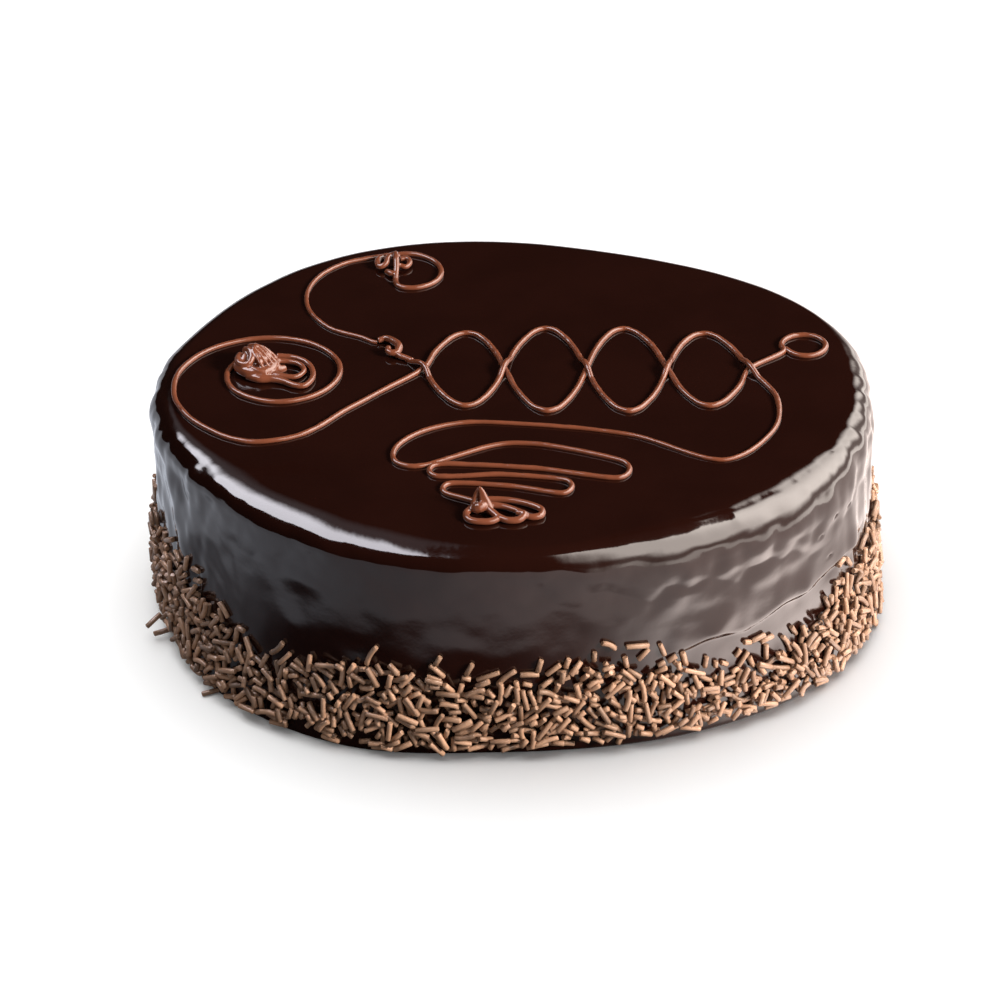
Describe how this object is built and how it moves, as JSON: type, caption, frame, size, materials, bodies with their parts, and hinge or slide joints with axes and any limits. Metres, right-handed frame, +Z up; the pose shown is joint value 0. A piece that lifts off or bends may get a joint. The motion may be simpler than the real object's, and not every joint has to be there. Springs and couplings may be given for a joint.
{
  "type": "sachertorte cake",
  "caption": "Whole oval chocolate torte with a dark mirror glaze, a band of chocolate sprinkles round its foot and a piped chocolate ornament on top.",
  "frame": {"origin": "middle of the flat base, where the cake rests", "axes": "+X along the long axis of the oval, +Y towards the back of the piped ornament, +Z up"},
  "size_m": [0.2507, 0.2103, 0.0859],
  "materials": {
    "dark_glaze": "poured dark chocolate glaze, mirror gloss",
    "sprinkles": "milk chocolate sprinkles, matt",
    "piped_chocolate": "piped milk chocolate, satin gloss"
  },
  "bodies": {
    "root": {"glazed_cake": "dark_glaze", "sprinkle_band": "sprinkles", "piped_spiral": "piped_chocolate", "piped_curl": "piped_chocolate", "piped_flourish": "piped_chocolate", "piped_knot_left": "piped_chocolate", "piped_knot_back": "piped_chocolate", "piped_knot_centre": "piped_chocolate", "piped_knot_front": "piped_chocolate"}
  },
  "joints": []
}
